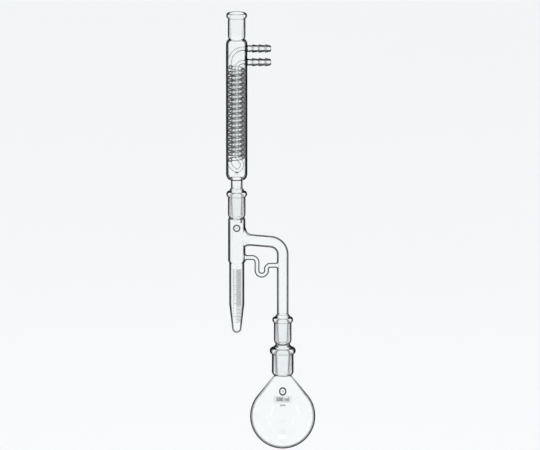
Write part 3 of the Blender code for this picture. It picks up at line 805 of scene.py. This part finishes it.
def makeFlask():
    rim = zOf("flask_socket", 1)
    waistZ = zOf("flask_socket", 0)
    radius, wall = flaskShape["radius"], flaskShape["wall"]
    centreZ = zOf("flask_bulb", 0) + radius
    waist = joints["large"]["waist"]
    outside = socketOutside("large", rim, waistZ)
    outside += bulbSide(waist, waistZ - waistLand, radius, centreZ)
    inside = socketInside("large", rim)
    inside += bulbSide(waist - wall, waistZ - waistLand, radius - wall, centreZ)
    glass = turnPiece("flaskGlass", outside + inside[::-1], flaskX, flaskShape["sides"], True)
    finishes = [bulbGlass, groundGlass, tubeGlass]
    finishPiece(glass, "flask", ["flask_socket", "flask_bulb"], finishes)
    for face in glass.data.polygons:
        if face.center.z > waistZ - flaskShape["neckGlass"]:
            face.material_index = 2
    grindBand(glass, flaskX, "large", rim, cone=False)


makeFlask()
print("flask made")


adapterShape = {"shoulder": 3.6 * mm, "collarRound": 1.6 * mm}


def makeAdapter():
    rim = zOf("adapter_socket", 1)
    waistZ = zOf("adapter_socket", 0)
    flaskRim = zOf("flask_socket", 1)
    waist = joints["small"]["waist"]
    bore = joints["small"]["end"]
    coneTop = coneSize("large", flaskRim)[0]
    innerTop, innerEnd, endZ = coneSize("large", flaskRim, jointFit["coneWall"])
    mouth = jointFit["coneMouth"]
    collarZ = flaskRim + jointFit["collar"]
    shoulderZ = collarZ + adapterShape["shoulder"]
    outside = socketOutside("small", rim, waistZ)
    outside += [(waist, waistZ - waistLand)]
    radii = (coneTop - waist, adapterShape["shoulder"] * 0.55)
    outside += arcPoints((coneTop, shoulderZ + 0.5 * mm), radii, 180, 235, 6)
    collar = adapterShape["collarRound"]
    outside += arcPoints((coneTop - collar, collarZ), (collar, collar), 55, 0, 5)
    outside += coneOutside("large", flaskRim)
    inside = socketInside("small", rim) + [(bore, waistZ - 1.0 * mm)]
    inside += [(bore + 0.4 * mm, shoulderZ), (innerTop, collarZ - 1.5 * mm)]
    inside += [(innerEnd, endZ + mouth), (innerEnd + mouth, endZ)]
    glass = turnPiece("adapterGlass", outside + inside[::-1], flaskX, closed=True)
    nodes = ["adapter_socket", "adapter_cone"]
    finishPiece(glass, "adapter", nodes, [tubeGlass, groundGlass])
    grindBand(glass, flaskX, "small", rim, cone=False)
    grindBand(glass, flaskX, "large", flaskRim, cone=True)


makeAdapter()
print("adapter made")


def hugTube(piece, axisX, radius, side, reach):
    # a root that meets an upright tube follows its round side
    for vertex in piece.data.vertices:
        along = (vertex.co.x - axisX) * side - radius
        if along < reach:
            share = min(1.0, max(0.0, 1 - along / reach))
            across = min(abs(vertex.co.y), radius * 0.97)
            sag = radius - math.sqrt(radius ** 2 - across ** 2)
            vertex.co.x -= side * sag * eased(share)
    choose(piece)
    editAll()
    bpy.ops.mesh.quads_convert_to_tris()
    bpy.ops.object.mode_set(mode="OBJECT")
    return piece


def flareShare(share):
    return 1 - math.sqrt(max(0.0, 1 - (1 - share) ** 2))  # 1 at the root, 0 at the tube


def armRod(name, inset):
    # the side arm from inside the chamber, through its bend, down the riser to the ground cone
    shape = receiverShape
    radius = shape["arm"] - inset
    rim = zOf("adapter_socket", 1)
    slope = shape["armSlope"]
    along = Vector((math.cos(slope), 0, -math.sin(slope)))
    corner = Vector((flaskX, 0, zOf("vapour_arm", 0) + shape["armCorner"]))
    turn = math.pi / 2 - slope
    bendStart = corner - along * (shape["armBend"] * math.tan(turn / 2))
    onAxis = corner - along * ((corner.x - columnX) / along.x)
    wallFrom = shape["chamber"] - inset * 0.6
    topFillet = shape["armFilletTop"]
    footFillet = shape["armFilletFoot"]
    half = (topFillet + footFillet) / 2
    shift = (topFillet - footFillet) / 2

    def section(share):
        wide = radius + shape["armSwell"] * share
        return (wide, wide, radius + half * share)

    inside = onAxis + along * (wallFrom - shape["armRoot"]) + up * shift
    moves = [{"to": onAxis + along * wallFrom + up * shift, "section": section(1)}]
    for share in steps(10)[1:]:
        swell = flareShare(share)
        place = onAxis + along * (wallFrom + topFillet * share) + up * shift * swell
        moves.append({"to": place, "section": section(swell)})
    moves.append({"to": bendStart})
    moves.append(bendMove(bendStart, along, shape["armBend"], turn, 20)[0])
    # close rings where the return tube joins
    joinZ = zOf("receiver_chamber", 0) + shape["overflow"] - shape["returnDrop"]
    for z in between(joinZ + shape["joinReach"], joinZ - shape["joinReach"], stationStep):
        moves.append({"to": Vector((flaskX, 0, z))})
    wall = jointFit["coneWall"] if inset else 0
    coneTop, coneEnd, endZ = coneSize("small", rim, wall)
    lower = coneShoulder(radius, coneTop, rim + jointFit["collar"])
    if inset:
        mouth = jointFit["coneMouth"]
        lower += [(coneTop, rim - jointFit["lead"]), (coneEnd, endZ + mouth)]
        lower += [(coneEnd + mouth, endZ), (coneEnd + mouth + 0.1 * mm, endZ - 2 * mm)]
    else:
        lower += coneOutside("small", rim)
    for width, z in lower:
        moves.append({"to": Vector((flaskX, 0, z)), "section": (width, width, width)})
    rod = sweepRod(name, inside, along, section(1), moves, 64)
    return hugTube(rod, columnX, shape["chamber"] - inset, 1, shape["armReach"])


def returnRod(name, inset):
    # out of the chamber, down, round the trap, up, and into the riser
    shape = receiverShape
    radius = shape["return"] - inset
    overflowZ = zOf("receiver_chamber", 0) + shape["overflow"]
    trapZ = overflowZ - shape["trapDepth"]
    lowerZ = overflowZ - shape["returnDrop"]
    heading = Vector((1, 0, 0))
    wallX = columnX + shape["chamber"] - inset * 0.5
    rootX = wallX - 0.6 * mm
    riserX = flaskX - shape["arm"] + inset * 0.5
    trapRadius = shape["trapWidth"] / 2
    leftLeg = flaskX - shape["trapLeft"]
    rightLeg = leftLeg + shape["trapWidth"]

    def section(extra):
        return (radius + extra,) * 3

    start = Vector((wallX - 5 * mm, 0, overflowZ))
    fillet = shape["chamberFillet"]
    first = (start, heading, section(fillet))
    moves = [{"to": Vector((rootX, 0, overflowZ)), "section": section(fillet)}]
    for share in steps(8)[1:]:
        place = Vector((rootX + fillet * share, 0, overflowZ))
        moves.append({"to": place, "section": section(fillet * flareShare(share))})
    for x, z, bendRadius, turn, sides in (
        (leftLeg - shape["upperBend"], overflowZ, shape["upperBend"], math.pi / 2, 12),
        (leftLeg, trapZ + trapRadius, trapRadius, -math.pi, 24),
        (rightLeg, lowerZ - shape["lowerBend"], shape["lowerBend"], math.pi / 2, 12),
    ):
        place = Vector((x, 0, z))
        bend, heading = bendMove(place, heading, bendRadius, turn, sides)
        moves += [{"to": place}, bend]
    fillet = shape["riserFillet"]
    for share in steps(8)[::-1]:
        place = Vector((riserX + 0.4 * mm - fillet * share, 0, lowerZ))
        moves.append({"to": place, "section": section(fillet * flareShare(share))})
    moves.append({"to": Vector((riserX + 4 * mm, 0, lowerZ))})
    rod = sweepRod(name, *first, moves, 32)
    hugTube(rod, columnX, shape["chamber"] - inset, 1, shape["returnReach"])
    return hugTube(rod, flaskX, shape["arm"] - inset, -1, shape["returnReach"])


def makeReceiver():
    rim = zOf("receiver_socket", 1)
    waistZ = zOf("receiver_socket", 0)
    outside = [(0, rim)] + socketOutside("small", rim, waistZ) + columnSide(0)
    glass = turnPiece("receiverGlass", outside, columnX)
    combine(glass, armRod("armOutside", 0), "UNION")
    combine(glass, returnRod("returnOutside", 0), "UNION")
    cutRim = rim - receiverShape["cutBelowRim"]
    clear = 3 * mm
    wide = joints["small"]["bead"] + clear
    inside = [(0, rim + clear), (wide, rim + clear), (wide, cutRim)]
    inside += [(joints["small"]["mouth"] + jointFit["land"], cutRim)]
    inside += socketInside("small", cutRim) + columnSide(tubeWall)
    combine(glass, turnPiece("columnBore", inside, columnX), "DIFFERENCE")
    combine(glass, armRod("armBore", tubeWall), "DIFFERENCE")
    combine(glass, returnRod("returnBore", receiverShape["returnWall"]), "DIFFERENCE")
    nodes = ["receiver_socket", "receiver_chamber", "graduated_tube"]
    nodes += ["vapour_arm", "return_tube", "vapour_cone"]
    finishPiece(glass, "receiver", nodes, [tubeGlass, groundGlass, fineGlass])
    # the narrow return tube gets a narrower band of painted edge shade
    shape = receiverShape
    highest = zOf("receiver_chamber", 0) + shape["overflow"] + shape["return"]
    highest += shape["chamberFillet"]
    for face in glass.data.polygons:
        fromWall = face.center.x - columnX - shape["chamber"]
        toRiser = flaskX - shape["arm"] - face.center.x
        if min(fromWall, toRiser) > 0.5 * mm and face.center.z < highest:
            face.material_index = 2
    grindBand(glass, columnX, "small", rim, cone=False)
    grindBand(glass, flaskX, "small", zOf("adapter_socket", 1), cone=True)


makeReceiver()
print("receiver made")


condenserShape = {
    "jacket": 17.0 * mm,
    "stem": 9.3 * mm,
    "stemFoot": 2.0 * mm,
    "stemRound": (2.2 * mm, 2.6 * mm),
    "topRound": 8.5 * mm,
    "baseRound": 12.6 * mm,
    "dripTube": 8.5 * mm,
    "dripSlant": math.radians(24),
    "dripRim": 0.45 * mm,
    "nozzleRoot": 5.3 * mm,
    "nozzleBarb": 6.7 * mm,
    "nozzleGroove": 4.8 * mm,
    "nozzleBore": 2.7 * mm,
    "nozzleNeck": 7.0 * mm,
    "nozzleTip": 2.4 * mm,
    "barbs": 3,
    "barbRound": (0.5 * mm, 0.8 * mm),
    "barbRise": 1.5 * mm,
    "rootFlare": 2.0 * mm,
    "innerFunnel": 5.0 * mm,
}
coilShape = {
    "tube": 3.25 * mm,
    "wall": 0.9 * mm,
    "pitch": 7.7 * mm,
    "turns": 19,
    "radius": 10.75 * mm,
    "lead": 6.0 * mm,
    "turnIn": math.radians(70),
    "footLand": 1.0 * mm,
    "outletBend": 22.0 * mm,
    "inletBend": 10.0 * mm,
    "loopRight": 8.5 * mm,
    "loopDepth": 9.6 * mm,
    "loopLeg": 3.0 * mm,
    "loopNeck": 14.0 * mm,
    "lobeRise": 1.0 * mm,
    "rightShoulder": 5.5 * mm,
    "leftShoulder": -2.0 * mm,
    "footSharp": 1.1 * mm,
    "footRound": 3.6 * mm,
    "pointsPerTurn": 36,
}
jacketX = columnX + condenserShape["jacket"]
nozzleLength = nodeBox["water_outlet_nozzle"][1].x - jacketX


def nozzleSolid(name, z):
    # from the funnel inside the jacket, through the wall, over the barbs to the round tip
    shape = condenserShape
    root, barb, tip = shape["nozzleRoot"], shape["nozzleBarb"], shape["nozzleTip"]
    pitch = (nozzleLength - shape["nozzleNeck"]) / shape["barbs"]
    funnel, tube = -shape["innerFunnel"], coilShape["tube"]
    flare, flareFrom = shape["rootFlare"], -0.9 * mm
    outline = [(0, funnel), (tube + 0.9 * mm, funnel), (tube + 1.0 * mm, funnel + 0.8 * mm)]
    outline += [(root + 0.2 * mm, -1.6 * mm), (root + flare, flareFrom)]
    for share in steps(8)[1:]:
        along = flareFrom + (flare + 0.6 * mm) * share
        outline.append((root + flare * flareShare(share), along))
    groove, barbRound = shape["nozzleGroove"], shape["barbRound"]
    for index in range(shape["barbs"]):
        foot = shape["nozzleNeck"] + index * pitch
        outline += [(root, foot - 0.9 * mm), (groove, foot - 0.1 * mm), (groove, foot + 0.1 * mm)]
        crest = (barb - barbRound[0], foot + shape["barbRise"])
        outline += arcPoints(crest, barbRound, -60, 60, 6)
        if index < shape["barbs"] - 1:
            outline += [(root + (barb - root) * 0.3, foot + pitch * 0.6)]
    outline += arcPoints((root - tip, nozzleLength - tip), (tip, tip), 0, 90, 10)
    outline += [(0, nozzleLength)]
    nozzle = turnSideways(name, outline, Vector((jacketX, 0, z)))
    return hugTube(nozzle, columnX, shape["jacket"], 1, 4 * mm)


def nozzleBore(name, z):
    # the inner end is wide enough to take the cooling tube
    shape = condenserShape
    hug = coilShape["tube"] + 0.02 * mm
    bore = shape["nozzleBore"]
    funnel, end = -shape["innerFunnel"], nozzleLength
    stop = funnel + 2.2 * mm
    mouth = bore + 0.2 * mm
    outline = [(0, funnel - 2 * mm), (hug, funnel - 2 * mm), (hug, stop), (bore, stop + slack)]
    outline += [(bore + 1.3 * mm, 1.5 * mm), (bore + 0.6 * mm, shape["nozzleNeck"])]
    outline += [(bore, end - 3 * mm), (bore, end - 0.5 * mm), (mouth, end + 0.2 * mm)]
    outline += [(mouth, end + 2 * mm), (0, end + 2 * mm)]
    return turnSideways(name, outline, Vector((jacketX, 0, z)))


def roundDripRim(glass, place, down):
    # the slanted mouth of the drip tube is fire-polished
    choose(glass)
    bpy.ops.object.mode_set(mode="EDIT")
    bpy.ops.mesh.select_mode(type="EDGE")
    bpy.ops.mesh.select_all(action="DESELECT")
    bpy.ops.object.mode_set(mode="OBJECT")
    onCut = [abs((vertex.co - place).dot(down)) < slack for vertex in glass.data.vertices]
    for edge in glass.data.edges:
        edge.select = onCut[edge.vertices[0]] and onCut[edge.vertices[1]]
    bpy.ops.object.mode_set(mode="EDIT")
    bpy.ops.mesh.bevel(offset=condenserShape["dripRim"], segments=3, affect="EDGES")
    bpy.ops.mesh.select_mode(type="VERT")
    bpy.ops.object.mode_set(mode="OBJECT")


def shellSide(inset, receiverRim):
    # the jacket and stem from the waist to the cone's collar, or the bore when inset by the wall
    shape = condenserShape
    waist, waistZ = joints["small"]["waist"], zOf("condenser_socket", 0)
    jacket, stem = shape["jacket"], shape["stem"] - inset
    stemZ = zOf("condenser_jacket", 0)
    baseZ = stemZ + shape["baseRound"] + inset * 0.6
    topZ = waistZ - shape["topRound"] - waistLand
    wall = jointFit["coneWall"] if inset else 0
    coneTop = coneSize("small", receiverRim, wall)[0]
    nozzleFoot = zOf("water_inlet_nozzle", 0) - 6 * mm
    stations = between(topZ, nozzleFoot, stationStep) + [nozzleFoot]
    topRadii = (jacket - waist, shape["topRound"])
    footWide = shape["stemFoot"]
    baseRadii = (jacket - shape["stem"] - footWide, shape["baseRound"] - footWide)
    stemRound = shape["stemRound"]
    if inset:
        side = arcPoints((waist - inset, topZ - inset), topRadii, 84, 0, 14)
        side += [(jacket - inset, z) for z in stations[1:]]
        footZ = stemZ + 0.8 * mm
    else:
        side = arcPoints((waist, topZ), topRadii, 78, 0, 14)
        side += [(jacket, z) for z in stations]
        footZ = stemZ - 0.2 * mm
    side += arcPoints((stem + footWide, baseZ), baseRadii, 0, -68, 14)
    side += arcPoints((stem + stemRound[0], footZ), stemRound, 112, 180, 6)
    return side + coneShoulder(stem, coneTop, receiverRim + jointFit["collar"])


def makeCondenserShell():
    shape = condenserShape
    rim = zOf("condenser_socket", 1)
    receiverRim = zOf("receiver_socket", 1)
    coneEnd, endZ = coneSize("small", receiverRim, jointFit["coneWall"])[1:]
    dripZ = endZ - 0.8 * mm
    lowest = zOf("condenser_cone", 0) - 1 * mm
    drip = shape["dripTube"]

    outside = socketOutside("small", rim, zOf("condenser_socket", 0)) + shellSide(0, receiverRim)
    outside += coneOutside("small", receiverRim)[:2]
    outside += [(drip + 0.5 * mm, endZ), (drip, dripZ), (drip, lowest)]
    inside = socketInside("small", rim) + shellSide(tubeWall, receiverRim)
    inside += [(coneEnd, endZ), (drip - tubeWall, dripZ), (drip - tubeWall, lowest)]
    glass = turnPiece("condenserGlass", outside + inside[::-1], columnX, closed=True)

    deselect()
    size = 40 * mm
    slant = shape["dripSlant"]
    down = Vector((-math.sin(slant), 0, -math.cos(slant)))
    low = Vector((columnX + drip - tubeWall / 2, 0, zOf("condenser_cone", 0) + 0.3 * mm))
    bpy.ops.mesh.primitive_cube_add(
        size=size, location=low + down * size / 2, rotation=(0, slant, 0))
    combine(glass, named("slantTool"), "DIFFERENCE")
    roundDripRim(glass, low, down)

    nozzles = ["water_outlet_nozzle", "water_inlet_nozzle"]
    heights = [middleZ(node) for node in nozzles]
    combine(glass, joinAll([nozzleSolid("nozzle", z) for z in heights], "nozzles"), "UNION")
    combine(glass, joinAll([nozzleBore("bore", z) for z in heights], "bores"), "DIFFERENCE")
    nodes = ["condenser_socket", "condenser_jacket", "condenser_cone"] + nozzles
    finishPiece(glass, "condenser", nodes, [tubeGlass, groundGlass, fineGlass])
    # the nozzles get the narrower band of painted edge shade
    for face in glass.data.polygons:
        if face.center.x > jacketX + 0.5 * mm:
            face.material_index = 2
    grindBand(glass, columnX, "small", rim, cone=False)
    grindBand(glass, columnX, "small", receiverRim, cone=True)


def roundCorner(before, corner, after, radius, count):
    into = (before - corner).normalized()
    out = (after - corner).normalized()
    half = into.angle(out) / 2
    centre = corner + (into + out).normalized() * (radius / math.sin(half))
    first = (corner + into * radius / math.tan(half) - centre).normalized()
    last = (corner + out * radius / math.tan(half) - centre).normalized()
    return [centre + first.slerp(last, share) * radius for share in steps(count)]


def softCorner(before, corner, after, count):
    return [
        before.lerp(corner, share).lerp(corner.lerp(after, share), share) for share in steps(count)
    ]


def atColumn(across, z):
    return Vector((columnX + across, 0, z))


def coilRoute():
    # outlet nozzle, coil, drip bend, straight return tube, inlet nozzle: one tube
    shape = coilShape
    outletZ, inletZ = middleZ("water_outlet_nozzle"), middleZ("water_inlet_nozzle")
    footZ = zOf("cooling_coil", 0)
    radius = shape["radius"]
    rise = 2 * (shape["footLand"] + shape["lead"]) + shape["turns"] * shape["pitch"]
    tubeEnd = condenserShape["jacket"] - condenserShape["innerFunnel"] + 2 * mm

    lead = []
    for lean in steps(12)[:-1]:
        turned = shape["turnIn"] * lean ** 2
        risen = shape["lead"] * (2 * lean - lean ** 2) + shape["pitch"] * turned / math.tau
        lead.append((turned, shape["footLand"] + risen))
    allTurns = shape["turns"] * math.tau
    wound = allTurns - 2 * shape["turnIn"]
    count = math.ceil(wound / math.tau * shape["pointsPerTurn"])
    winding = []
    for share in steps(count):
        turned = shape["turnIn"] + wound * share
        risen = shape["footLand"] + shape["lead"] + shape["pitch"] * turned / math.tau
        winding.append((turned, risen))
    tail = [(allTurns - turned, rise - risen) for turned, risen in reversed(lead)]
    coil = []
    for turned, risen in lead + winding + tail:
        x = columnX - radius * math.cos(turned)
        coil.append(Vector((x, -radius * math.sin(turned), footZ + risen)))

    head, aside = atColumn(-radius, outletZ), atColumn(radius, outletZ)
    outlet = roundCorner(atColumn(-radius, footZ), head, aside, shape["outletBend"], 24)
    outlet.append(atColumn(tubeEnd, outletZ))

    loopZ = footZ - shape["loopLeg"]
    neckTop = loopZ + shape["loopNeck"]
    corner, aside = atColumn(0, inletZ), atColumn(radius, inletZ)
    inlet = roundCorner(atColumn(0, footZ), corner, aside, shape["inletBend"], 16)
    bend = [atColumn(tubeEnd, inletZ)] + inlet[::-1] + [atColumn(0, neckTop)]
    lobeZ = loopZ + shape["lobeRise"]
    for share in steps(16)[1:]:
        across = shape["loopRight"] * eased(share)
        bend.append(atColumn(across, neckTop + (lobeZ - neckTop) * share))
    # the two sides of the heart run straight to its foot
    lobe = atColumn(shape["loopRight"], lobeZ)
    foot = atColumn(0, loopZ - shape["loopDepth"] - shape["footSharp"])
    rightSide = atColumn(shape["loopRight"], loopZ - shape["rightShoulder"])
    leftSide = atColumn(-radius, loopZ + shape["leftShoulder"])
    bend += softCorner(lobe, rightSide, rightSide.lerp(foot, 0.45), 8)[1:]
    bend += roundCorner(rightSide, foot, leftSide, shape["footRound"], 7)
    bend += softCorner(leftSide.lerp(foot, 0.4), leftSide, atColumn(-radius, footZ), 8)[:-1]
    return bend + coil + outlet


def tubeAlong(name, route, radius, wall, resolution):
    deselect()
    bpy.ops.curve.primitive_nurbs_path_add()
    piece = named(name)
    curve = piece.data
    curve.splines.clear()
    spline = curve.splines.new("POLY")
    spline.points.add(len(route) - 1)
    for point, place in zip(spline.points, route):
        point.co = (*place, 1)
    curve.bevel_depth = radius
    curve.bevel_resolution = resolution
    choose(piece)
    bpy.ops.object.convert(target="MESH")
    piece = bpy.context.object
    modified(piece, "SOLIDIFY", thickness=wall, offset=-1)
    return piece


def makeCoil():
    shape = coilShape
    circuit = tubeAlong("coolingCircuit", coilRoute(), shape["tube"], shape["wall"], 5)
    nodes = ["cooling_coil", "coil_return_tube", "coil_drip_bend"]
    finishPiece(circuit, "condenser", nodes, [thinGlass])


dripShape = {"root": 2.6 * mm, "thread": 0.35 * mm, "sunk": 0.75 * mm, "sides": 32}


def makeDripPoint():
    # drawn out from the tube's wall to a thread with a round end
    shape = dripShape
    lowest = zOf("drip_point", 0)
    top = zOf("drip_point", 1) + shape["sunk"]
    outline = [(0, top)]
    for share in steps(14)[:-1]:
        radius = shape["root"] * (1 - share) ** 1.6 + shape["thread"] * (1 - share ** 6)
        outline.append((radius, top - (top - lowest) * share))
    outline += [(0, lowest)]
    drop = turnPiece("dripPoint", outline, columnX, shape["sides"])
    finishPiece(drop, "condenser", ["drip_point"], [thinGlass], 60)


makeCondenserShell()
print("condenser shell made")
makeCoil()
makeDripPoint()
print("coil made")

for marks, glassName, body, nodes, finish, lift in (
    (graduationMarks, "receiverGlass", "receiver", ["graduation_scale"], greyEnamel, 1),
    (graduationNumbers, "receiverGlass", "receiver", [], greyEnamel, 1),
    (receiverPrint, "receiverGlass", "receiver", [], greyEnamel, 1),
    (patchField, "flaskGlass", "flask", ["write_on_patch"], whiteEnamel, 1),
    (flaskPrint, "flaskGlass", "flask", [], greyEnamel, 2.6),  # stands on the patch
):
    layPrint(marks, bpy.data.objects[glassName], lift)
    finishPiece(marks, body, nodes, [finish])
print("printing laid on")


def makeFloor():
    deselect()
    z = zOf("flask_bulb", 0) - floorLook["below"]
    bpy.ops.mesh.primitive_plane_add(size=floorLook["size"], location=(0, 0, z))
    floor = named("floor")
    floor.data.materials.append(makeFloorFinish())


lightSettings = {
    "left": {"at": (-1.7, -1.7, 1.1), "size": (0.16, 1.3), "power": 2.6},
    "right": {"at": (1.9, -1.0, 0.9), "size": (0.10, 1.3), "power": 1.4},
    "top": {"at": (0.1, 0.3, 2.6), "size": (1.0, 1.0), "power": 5},
}
worldLook = {"colour": (0.97, 0.98, 0.99, 1), "strength": 1.07}


def makeLights():
    target = Vector((columnX / 2, 0, 0.2))
    for name, setting in lightSettings.items():
        bpy.ops.object.light_add(type="AREA", location=setting["at"])
        lamp = bpy.context.object
        lamp.name = name + "Light"
        lamp.data.shape = "RECTANGLE"
        lamp.data.size, lamp.data.size_y = setting["size"]
        lamp.data.energy = setting["power"]
        lamp.rotation_euler = (target - lamp.location).to_track_quat("-Z", "Y").to_euler()
    world = bpy.data.worlds.new("studio")
    world.use_nodes = True
    background = world.node_tree.nodes["Background"]
    background.inputs["Color"].default_value = worldLook["colour"]
    background.inputs["Strength"].default_value = worldLook["strength"]
    bpy.context.scene.world = world


cameraView = {
    "lens": 1000.0,
    "sensor": 36.0,
    "elevation": math.radians(12),
    "width": 0.8572,
    "x": -0.0202,
    "z": 0.2212,
    "farthest": 100,
}


def makeCamera():
    view = cameraView
    distance = view["width"] * view["lens"] / view["sensor"]
    target = Vector((view["x"], 0, view["z"]))
    back = Vector((0, -math.cos(view["elevation"]), math.sin(view["elevation"])))
    bpy.ops.object.camera_add(location=target + back * distance)
    camera = bpy.context.object
    camera.data.lens = view["lens"]
    camera.data.sensor_width = view["sensor"]
    camera.data.clip_end = view["farthest"]
    camera.rotation_euler = (-back).to_track_quat("-Z", "Y").to_euler()
    bpy.context.scene.camera = camera


makeFloor()
makeLights()
makeCamera()
bpy.context.scene.view_settings.view_transform = "Standard"
passes = 40  # enough for glass behind glass behind glass
bpy.context.scene.cycles.max_bounces = passes
bpy.context.scene.cycles.transmission_bounces = passes
print("floor, light and camera made")
